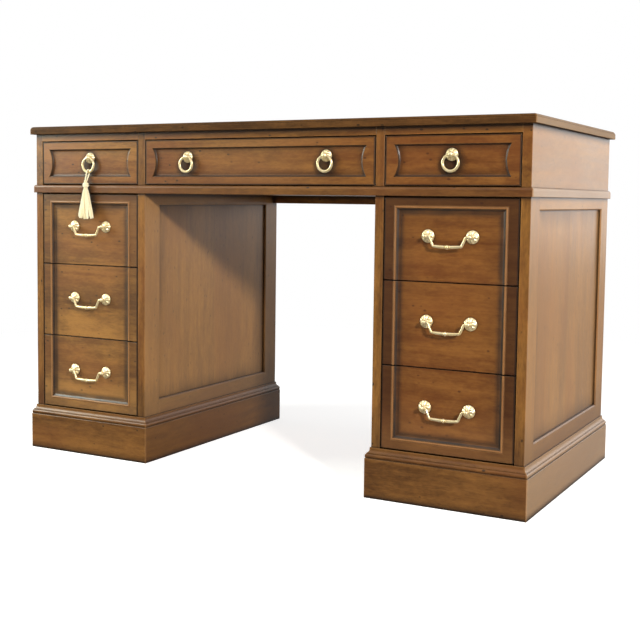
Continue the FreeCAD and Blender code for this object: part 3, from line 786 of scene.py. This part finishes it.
def rosette_rings(radius):
    """Rings from the rosette's back edge to its neck: a dome of petals with grooves between them."""
    rings = []
    shares = [1.0] + [1.0 - rosette_step_share * i for i in range(rosette_steps)]
    for index, share in enumerate(shares):
        dome = rosette_rim + (rosette_crown - rosette_rim) * (1 - share**dome_power)
        along = (share - groove_start_share) / (1 - groove_start_share)
        bow = math.sin(math.pi * min(1.0, max(0.0, along)))
        ring = []
        for angle in turns(post_sides):
            gap = 0.5 - 0.5 * math.cos(petals * angle)
            reach = radius * share * (1 - petal_scallop_share * gap * share)
            rise = dome + petal_groove * bow * (1 - groove_gain * gap**groove_power)
            if index == 0:
                rise = 0
            ring.append(Vector((reach * math.cos(angle), -rise, reach * math.sin(angle))))
        rings.append(ring)
    return rings


def turned_rings(profile):
    """Rings of a turned shape from (radius, distance out of the drawer) pairs."""
    rings = []
    for radius, out in profile:
        ring = [Vector((radius * math.cos(a), -out, radius * math.sin(a))) for a in turns(post_sides)]
        rings.append(ring)
    return rings


def ball_profile(radius, centre, start, nub, floor):
    """The turned head: a ball from its neck, or from the crown's floor, to a small nub on its front."""
    profile = []
    first = max(math.asin(start / radius), math.acos(min(1.0, (centre - floor) / radius)))
    last = math.pi - math.asin(nub / radius)
    for i in range(ball_steps + 1):
        angle = first + (last - first) * i / ball_steps
        profile.append((radius * math.sin(angle), centre - radius * math.cos(angle)))
    front = profile[-1][1]
    profile += [(nub * wide, front + nub * out) for wide, out in nub_shares]
    return profile


def nut_rings(grip):
    """A six-sided nut round the stud, as rings round its hole."""
    rings = []
    half_facet = math.pi / nut_sides
    hole = stud_radius + nut_chamfer / 2
    for angle in turns(nut_steps):
        facet = (angle % (2 * half_facet)) - half_facet
        reach = nut_radius * math.cos(half_facet) / math.cos(facet)
        section = (
            (hole, grip),
            (reach - nut_chamfer, grip),
            (reach, grip + nut_chamfer),
            (reach, grip + nut_thickness - nut_chamfer),
            (reach - nut_chamfer, grip + nut_thickness),
            (hole, grip + nut_thickness),
        )
        rings.append([Vector((out * math.cos(angle), y, out * math.sin(angle))) for out, y in section])
    return rings


def add_post(mesh, at, radius, standoff, head, grip):
    """A post on a drawer's face: stud, rosette, neck and ball head in one skin, and its nut."""
    neck = head * neck_share
    profile = [(neck * wide, rosette_crown + out) for wide, out in post_collar]
    stem = standoff - math.sqrt(head * head - neck * neck) - rosette_crown
    if stem > shortest_stem:
        profile += [(neck * wide, rosette_crown + stem * out) for wide, out in post_stem_shares]
    profile += ball_profile(head, standoff, neck * head_start_share, head * nub_share, profile[-1][1])
    stud = turned_rings([(stud_radius, -grip - nut_thickness), (stud_radius, 0)])
    skin(mesh, moved(stud + rosette_rings(radius) + turned_rings(profile), at))
    skin(mesh, moved(nut_rings(grip), at), loop=True)


def make_posts(metal):
    """The posts of the six bail pulls and of the four ring pulls."""
    for drawer in STACK_DRAWERS:
        pivot = pivots[f"{drawer}_bail_hinge"]
        mesh = bmesh.new()
        for offset in (-post_spacing / 2, post_spacing / 2):
            at = Vector((pivot.x + offset, pivot.y + bail_standoff, pivot.z))
            add_post(mesh, at, rosette_radius, bail_standoff, bail_head, front_thickness - field_depth)
        piece(f"{drawer}_turned_posts", mesh, metal, f"{drawer}_drawer", f"{drawer}_pull_posts")
    for word, rings in RINGS.items():
        mesh = bmesh.new()
        for ring in rings:
            pivot = pivots[f"{ring}_ring_hinge"]
            at = Vector((pivot.x, pivot.y + ring_standoff, pivot.z))
            add_post(mesh, at, ring_rosette_radius, ring_standoff, ring_head, front_thickness - sunk_depth)
        drawer = f"frieze_{word}"
        piece(f"{drawer}_turned_posts", mesh, metal, f"{drawer}_drawer", f"{drawer}_ring_posts")


# Bails: the line of one half from its pin to the bar, and the rod's radius by distance from the middle,
# with the leg's radius past the last place
bail_shoulder = 0.0055
bail_pin_past = 0.001
bail_drop = 0.020
bail_neck_bend = 0.004
bail_corner_bend = 0.003
bail_leg_angle = math.radians(66)
bail_sag_angle = math.radians(6)
bail_leg_radius = 0.0025
bail_neck_steps = 12
bail_corner_steps = 8
bail_bar_steps = 120
rod_sides = 20
bail_bar = (
    (0.0, 0.0043),
    (0.0010, 0.0042),
    (0.0020, 0.0038),
    (0.0029, 0.0030),
    (0.0034, 0.0026),
    (0.0042, 0.0026),
    (0.0044, 0.0035),
    (0.0056, 0.0035),
    (0.0058, 0.0028),
    (0.0066, 0.0028),
    (0.0090, 0.0032),
    (0.0160, 0.0030),
    (0.0250, 0.0026),
    (0.0250, bail_leg_radius),
)


def arc(start, radius, first, last, side, steps):
    """Points of an arc that leaves its start at one angle and turns to another, in X and Z."""
    centre = start + Vector((side * math.sin(first), 0, -side * math.cos(first))) * radius
    points = []
    for i in range(1, steps + 1):
        angle = first + (last - first) * i / steps
        points.append(centre + Vector((-side * math.sin(angle), 0, side * math.cos(angle))) * radius)
    return points


def bail_half():
    """The right half of the bail's line, from its pin to its bar."""
    shoulder = post_spacing / 2 - bail_shoulder
    lean, sag = bail_leg_angle, bail_sag_angle
    across = shoulder - bail_neck_bend * math.sin(lean)
    across -= bail_corner_bend * (math.sin(lean) - math.sin(sag))
    down = bail_drop - bail_neck_bend * (1 - math.cos(lean))
    down -= bail_corner_bend * (math.cos(sag) - math.cos(lean))
    spread = math.cos(lean) * (1 - math.cos(sag)) - math.sin(lean) * math.sin(sag)
    leg = (across * (1 - math.cos(sag)) - down * math.sin(sag)) / spread
    line = [Vector((post_spacing / 2 + bail_pin_past, 0, 0)), Vector((shoulder, 0, 0))]
    line += arc(line[-1], bail_neck_bend, 0, lean, 1, bail_neck_steps)
    line.append(line[-1] - Vector((math.cos(lean), 0, math.sin(lean))) * leg)
    line += arc(line[-1], bail_corner_bend, lean, sag, -1, bail_corner_steps)
    return line


def stepped(stops, at):
    """The value at a place, from stops that are each a place and a value."""
    for (low, start), (high, end) in zip(stops, stops[1:]):
        if at <= high:
            return start + (end - start) * (at - low) / (high - low)
    return stops[-1][1]


def make_bails(metal):
    """The six swan-neck bails."""
    half = bail_half()
    curve = half[-1].x / math.sin(bail_sag_angle)
    bar = []
    for i in range(1, bail_bar_steps):
        angle = bail_sag_angle * (1 - 2 * i / bail_bar_steps)
        bar.append(Vector((curve * math.sin(angle), 0, curve * (1 - math.cos(angle)) - bail_drop)))
    line = half + bar + [Vector((-point.x, 0, point.z)) for point in reversed(half)]
    radii = [stepped(bail_bar, abs(point.x)) for point in line]
    rings = tube(line, radii, rod_sides, Vector((0, 1, 0)))
    for drawer in STACK_DRAWERS:
        mesh = bmesh.new()
        skin(mesh, moved(rings, pivots[f"{drawer}_bail_hinge"]))
        piece(f"{drawer}_swan_bail", mesh, metal, f"{drawer}_bail", f"{drawer}_pull_bail")


# Ring pulls: a rod that is thickest at the ring's foot
ring_radius = 0.016
ring_rod_top = 0.0024
ring_rod_foot = 0.0029
ring_steps = 72


def make_rings(metal):
    """The four drop rings."""
    rings = []
    for angle in turns(ring_steps):
        out = Vector((math.sin(angle), 0, math.cos(angle)))
        rod = ring_rod_top + (ring_rod_foot - ring_rod_top) * (1 - math.cos(angle)) / 2
        ring = []
        for turn in turns(rod_sides):
            spoke = out * (ring_radius + rod * math.cos(turn))
            ring.append(spoke + Vector((0, rod * math.sin(turn), 0)))
        rings.append(ring)
    for names in RINGS.values():
        for name in names:
            pivot = pivots[f"{name}_ring_hinge"]
            mesh = bmesh.new()
            skin(mesh, moved(rings, pivot - Vector((0, 0, ring_radius))), loop=True)
            piece(f"{name}_drop_ring", mesh, metal, f"{name}_ring", f"frieze_{name}_ring")


# Tassel on the left ring: cord, wound head, wraps, and a skirt of strands drawn into tufts, with its half
# widths and depths by share of its length
cord_radius = 0.0017
cord_wrap = 0.005
cord_bends = 3
cord_turn = math.radians(64)
cord_resolution = 16
cord_plies = 2
cord_ply = 0.0011
cord_ply_sides = 10
cord_twist = 0.0075
cord_tint = 0.55
tassel_drop = 0.023
tassel_head_radius = 0.007
head_steps = 24
head_sides = 120
head_ridge_share = 0.035
head_ridges = 20
head_ridge_twist = 3
head_tint = 0.5
collar_radius = 0.0048
collar_height = 0.003
collar_wraps = 3
collar_thread_share = 0.56
whipping_radius = 0.0036
whipping_wraps = 4
whipping_thread_share = 0.6
wrap_steps = 60
wrap_sides = 10
skirt_length = 0.071
skirt_widths = ((0.0, 0.0038), (0.09, 0.0068), (1.0, 0.0262))
skirt_depths = ((0.0, 0.0036), (0.09, 0.0056), (1.0, 0.0080))
golden_share = 0.381966
tuft_count = 11
tuft_jitter = 0.3
tuft_reach_share = 0.88
tuft_fall = 0.17
tuft_draw = 0.42
strand_count = 190
strand_radius = 0.00105
strand_tip_share = 0.6
strand_steps = 14
strand_sides = 7
strand_jitter = 0.4
strand_sway = 0.0010
strand_waves = 5
strand_tints = (0.15, 1.0)
hem_curve = 0.05
hem_ragged = 0.05
hem_stray = 0.10
hem_stray_power = 6


def cord_route(knot, axis_y):
    """The corded loop's points: up from the head, round the ring's rod and down again."""
    lead = math.pi / 2 - cord_bends / 2 * cord_turn
    tilt = math.atan2(knot.y - axis_y, tassel_drop)
    corner = cord_wrap / math.cos(cord_turn / 2)
    bend = []
    for i in range(cord_bends):
        angle = lead + cord_turn * (i + 0.5)
        bend.append(Vector((0, corner * math.cos(angle), corner * math.sin(angle))))
    reach = math.hypot(knot.y - axis_y, tassel_drop) - cord_radius * math.tan(tilt)
    start = Vector((0, cord_wrap * math.cos(lead), cord_wrap * math.sin(lead)))
    run = (reach + start.z) / math.cos(lead)
    foot = start + Vector((0, run * math.sin(lead), -run * math.cos(lead)))
    rise = (start + foot) / 2
    route = [foot, rise] + bend
    route += [Vector((0, -point.y, point.z)) for point in (rise, foot)]
    turn = Matrix.Rotation(-tilt, 3, "X")
    return [turn @ point + knot for point in route]


def smooth_line(route):
    """Points along the route's own smooth line."""
    curve = bpy.data.curves.new("route", "CURVE")
    curve.dimensions = "3D"
    spline = curve.splines.new("NURBS")
    spline.points.add(len(route) - 1)
    for spot, point in zip(spline.points, route):
        spot.co = (*point, 1.0)
    spline.order_u = 3
    spline.use_endpoint_u = True
    spline.resolution_u = cord_resolution
    holder = bpy.data.objects.new("route", curve)
    line = bpy.data.meshes.new_from_object(holder)
    points = [vertex.co.copy() for vertex in line.vertices]
    bpy.data.objects.remove(holder)
    bpy.data.curves.remove(curve)
    bpy.data.meshes.remove(line)
    return points


def set_tint(made, tints):
    """Gives each point of a thread piece its tone, from 0 to 1."""
    values = made.data.attributes.new("tint", "FLOAT", "POINT")
    values.data.foreach_set("value", tints)


def make_cord(yarn, knot, axis_y):
    """A cord of twisted plies that loops round the ring."""
    route = cord_route(knot, axis_y)
    line = smooth_line(route)
    across = Vector((1, 0, 0))
    mesh = bmesh.new()
    for ply in range(cord_plies):
        walked = 0.0
        points = []
        for i, point in enumerate(line):
            if i:
                walked += (point - line[i - 1]).length
            angle = 2 * math.pi * (walked / cord_twist + ply / cord_plies)
            up = heading(line, i).cross(across).normalized()
            offset = across * math.cos(angle) + up * math.sin(angle)
            points.append(point + offset * (cord_radius - cord_ply))
        skin(mesh, tube(points, [cord_ply] * len(points), cord_ply_sides, across))
    cord = piece("tassel_loop", mesh, yarn, "tassel", "tassel_cord")
    set_tint(cord, [cord_tint] * len(cord.data.vertices))
    length = sum((b - a).length for a, b in zip(line, line[1:]))
    return cord, route, line, length


def add_wrap(mesh, middle, radius, rod):
    """One turn of thread round the tassel's axis; radius is the turn's outside."""
    rings = []
    for turn in turns(wrap_steps):
        out = Vector((math.cos(turn), math.sin(turn), 0))
        core = middle + out * (radius - rod)
        ring = []
        for angle in turns(wrap_sides):
            ring.append(core + out * rod * math.cos(angle) + Vector((0, 0, rod * math.sin(angle))))
        rings.append(ring)
    skin(mesh, rings, loop=True)


def make_head(yarn, centre):
    """The tassel's wound ball, with a wrapped collar under it and a whipping over it."""
    mesh = bmesh.new()
    ball = []
    for i in range(1, head_steps):
        angle = math.pi * i / head_steps
        ring = []
        for turn in turns(head_sides):
            wave = math.cos(head_ridges * turn + head_ridge_twist * angle)
            ridge = 1 + head_ridge_share * wave * math.sin(angle)
            out = tassel_head_radius * math.sin(angle) * ridge
            up = tassel_head_radius * math.cos(angle)
            ring.append(centre + Vector((out * math.cos(turn), out * math.sin(turn), up)))
        ball.append(ring)
    skin(mesh, ball)
    foot = centre.z - tassel_head_radius - collar_height / 2
    pitch = collar_height / collar_wraps
    for wrap in range(collar_wraps):
        middle = Vector((centre.x, centre.y, foot + pitch * (wrap + 0.5)))
        add_wrap(mesh, middle, collar_radius, pitch * collar_thread_share)
    crown = centre.z + tassel_head_radius
    for wrap in range(whipping_wraps):
        middle = Vector((centre.x, centre.y, crown + pitch * wrap))
        add_wrap(mesh, middle, whipping_radius, pitch * whipping_thread_share)
    head = piece("tassel_wound_head", mesh, yarn, "tassel", "tassel_head")
    set_tint(head, [head_tint] * len(head.data.vertices))
    return head


def make_tufts(draw):
    """Each tuft's place, as shares of the skirt's half width and depth, and how much shorter it is."""
    tufts = []
    for tuft in range(tuft_count):
        angle = 2 * math.pi * (tuft + draw.uniform(-tuft_jitter, tuft_jitter)) * golden_share
        spread = math.sqrt((tuft + 0.5) / tuft_count) * tuft_reach_share
        tufts.append((spread * math.cos(angle), spread * math.sin(angle), draw.uniform(0, tuft_fall)))
    return tufts


def strand_points(draw, strand, tufts, top):
    """The line of one strand, which hangs from the collar and is drawn to the nearest tuft."""
    angle = 2 * math.pi * (strand + draw.uniform(-strand_jitter, strand_jitter)) * golden_share
    spread = math.sqrt((strand + 0.5) / strand_count)
    lean = spread * math.cos(angle)
    bulge = spread * math.sin(angle)
    nearest = min(tufts, key=lambda tuft: math.hypot(tuft[0] - lean, tuft[1] - bulge))
    tuft_lean, tuft_bulge, short = nearest
    fall = 1 - short - hem_curve * lean**2 - draw.uniform(0, hem_ragged)
    fall -= hem_stray * draw.random() ** hem_stray_power
    sway = draw.uniform(-strand_sway, strand_sway)
    wave = draw.uniform(0, 2 * math.pi)
    points = []
    for i in range(strand_steps):
        share = fall * i / (strand_steps - 1)
        gather = tuft_draw * share**2
        x = (lean + (tuft_lean - lean) * gather) * stepped(skirt_widths, share)
        y = (bulge + (tuft_bulge - bulge) * gather) * stepped(skirt_depths, share)
        x += sway * share * math.sin(strand_waves * share + wave)
        points.append(top + Vector((x, y, -skirt_length * share)))
    return points


def make_skirt(yarn, top):
    """The tassel's hanging threads, which gather in tufts towards a ragged hem."""
    draw = random.Random(seed)
    tufts = make_tufts(draw)
    radii = [strand_radius] * (strand_steps - 1) + [strand_radius * strand_tip_share]
    mesh = bmesh.new()
    tints = []
    for strand in range(strand_count):
        points = strand_points(draw, strand, tufts, top)
        skin(mesh, tube(points, radii, strand_sides, Vector((0, 1, 0))))
        tints += [draw.uniform(*strand_tints)] * (strand_steps * strand_sides)
    skirt = piece("tassel_threads", mesh, yarn, "tassel", "tassel_skirt")
    set_tint(skirt, tints)


def make_tassel(yarn):
    """The tassel's cord, head and skirt."""
    knot = pivots["tassel_swing"]
    low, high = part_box("tassel_head")
    axis_y = (low.y + high.y) / 2
    cord, route, line, length = make_cord(yarn, knot, axis_y)
    head = make_head(yarn, Vector((knot.x, axis_y, high.z - tassel_head_radius)))
    make_skirt(yarn, Vector((knot.x, axis_y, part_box("tassel_skirt")[1].z)))


# Stage: a white floor that keeps the shadow, a white world behind, and soft lamps. A lamp has its name,
# place, target, size, power and colour
floor_radius = 9.0
floor_segments = 96
floor_colour = (0.78, 0.78, 0.78, 1.0)
floor_shadow_reach = (0.9, 2.6)
floor_glow = 0.76
floor_behind = (-0.6, 0.6, 0.05, 0.40)
floor_left = (-0.8, -2.2, 0.6)
world_ambient = 0.22
world_behind = (-0.2, 0.55, 0.04)
world_above = (0.2, 0.65)
lamps = (
    ("key", (4.5, -4.05, 2.65), (0.0, 0.0, 0.4), (0.5, 0.5), 310.0, (1.0, 0.96, 0.90)),
    ("window", (-1.8, -1.0, 1.2), (-0.3, -0.3, 0.4), (0.9, 0.9), 36.0, (0.92, 1.0, 0.90)),
    ("side", (3.2, -0.1, 1.3), (0.6, 0.0, 0.4), (1.0, 1.0), 24.0, (1.0, 0.96, 0.90)),
    ("panel", (1.35, 2.6, 1.15), (0.6, 0.0, 0.6), (1.0, 1.5), 5.5, (1.0, 1.0, 1.0)),
)


def seen_directly(graph):
    """Two factors for the rays that show the background: to the camera, and in gloss or through glass."""
    path = graph.add("LightPath").outputs
    gloss = graph.math("MAXIMUM", path["Is Glossy Ray"], path["Is Transmission Ray"])
    return path["Is Camera Ray"], gloss


def make_floor():
    """A matt floor whose shadow fades into white, with its own brightness in gloss."""
    mesh = bmesh.new()
    bmesh.ops.create_circle(mesh, cap_ends=True, radius=floor_radius, segments=floor_segments)
    graph = new_graph("floor")
    camera, gloss = seen_directly(graph)
    away = graph.add("VectorMath", {0: graph.place()}, operation="LENGTH").outputs["Value"]
    far = graph.ramp(away, *floor_shadow_reach)
    matt = graph.add("BsdfDiffuse", {"Color": floor_colour})
    glow = graph.add("Emission", {"Strength": graph.times(camera, floor_glow)})
    near = graph.add("AddShader", {0: matt.outputs[0], 1: glow.outputs[0]})
    white = graph.add("Emission", {"Strength": 1.0})
    blend = graph.times(far, camera)
    direct = graph.add("MixShader", {0: blend, 1: near.outputs[0], 2: white.outputs[0]})
    x, y, _ = graph.spot()
    behind = graph.ramp(y, *floor_behind)
    left = graph.fade(x, *floor_left)
    mirror = graph.add("Emission", {"Strength": graph.math("MAXIMUM", behind, left)})
    surface = graph.add("MixShader", {0: gloss, 1: direct.outputs[0], 2: mirror.outputs[0]})
    graph.add("OutputMaterial", {"Surface": surface.outputs[0]})
    floor = mesh_object("floor", mesh, graph.owner)


def make_world():
    """White behind the object for the camera and in gloss, dimmer in front, and an even ambient light."""
    world = bpy.data.worlds.new("studio")
    bpy.context.scene.world = world
    graph = Graph(world)
    camera, gloss = seen_directly(graph)
    _, y, z = graph.split(graph.add("TexCoord").outputs["Generated"])
    behind = graph.ramp(y, *world_behind)
    bright = graph.math("MAXIMUM", behind, graph.ramp(z, *world_above))
    level = graph.scaled(gloss, graph.minus(bright, world_ambient), world_ambient)
    level = graph.math("MAXIMUM", level, camera)
    sky = graph.add("Background", {"Color": (1.0, 1.0, 1.0, 1.0), "Strength": level})
    graph.add("OutputWorld", {"Surface": sky.outputs[0]})


def make_lamps():
    """Soft lamps that the camera doesn't see."""
    for name, place, target, size, power, colour in lamps:
        lamp = bpy.data.lights.new(name, "AREA")
        lamp.shape = "RECTANGLE"
        lamp.size, lamp.size_y = size
        lamp.energy = power
        lamp.color = colour
        made = new_object(name, lamp)
        made.location = place
        made.rotation_euler = (Vector(target) - Vector(place)).to_track_quat("-Z", "Y").to_euler()
        made.visible_camera = False


# Camera, fitted to the photograph's corners
camera_place = (1.2160, case_front - 2.0067, 0.6009)
camera_yaw = 0.5070
camera_pitch = 0.0747
camera_roll = 0.0112
camera_lens = 62.40
camera_sensor = 36.0
camera_shift = (0.04, -0.06)


def make_camera():
    """The camera, turned by its yaw, tipped down by its pitch and then rolled."""
    data = bpy.data.cameras.new("camera")
    data.lens = camera_lens
    data.sensor_width = camera_sensor
    data.shift_x, data.shift_y = camera_shift
    camera = new_object("camera", data)
    matrix = Matrix.Translation(camera_place)
    for angle, axis in ((camera_yaw, "Z"), (math.pi / 2 - camera_pitch, "X"), (camera_roll, "Z")):
        matrix = matrix @ Matrix.Rotation(angle, 4, axis)
    camera.matrix_world = matrix
    bpy.context.scene.camera = camera


dress_wood()
metal = brass()
make_posts(metal)
make_bails(metal)
make_rings(metal)
make_tassel(thread())
make_floor()
make_world()
make_lamps()
make_camera()
bpy.context.scene.view_settings.view_transform = "Standard"
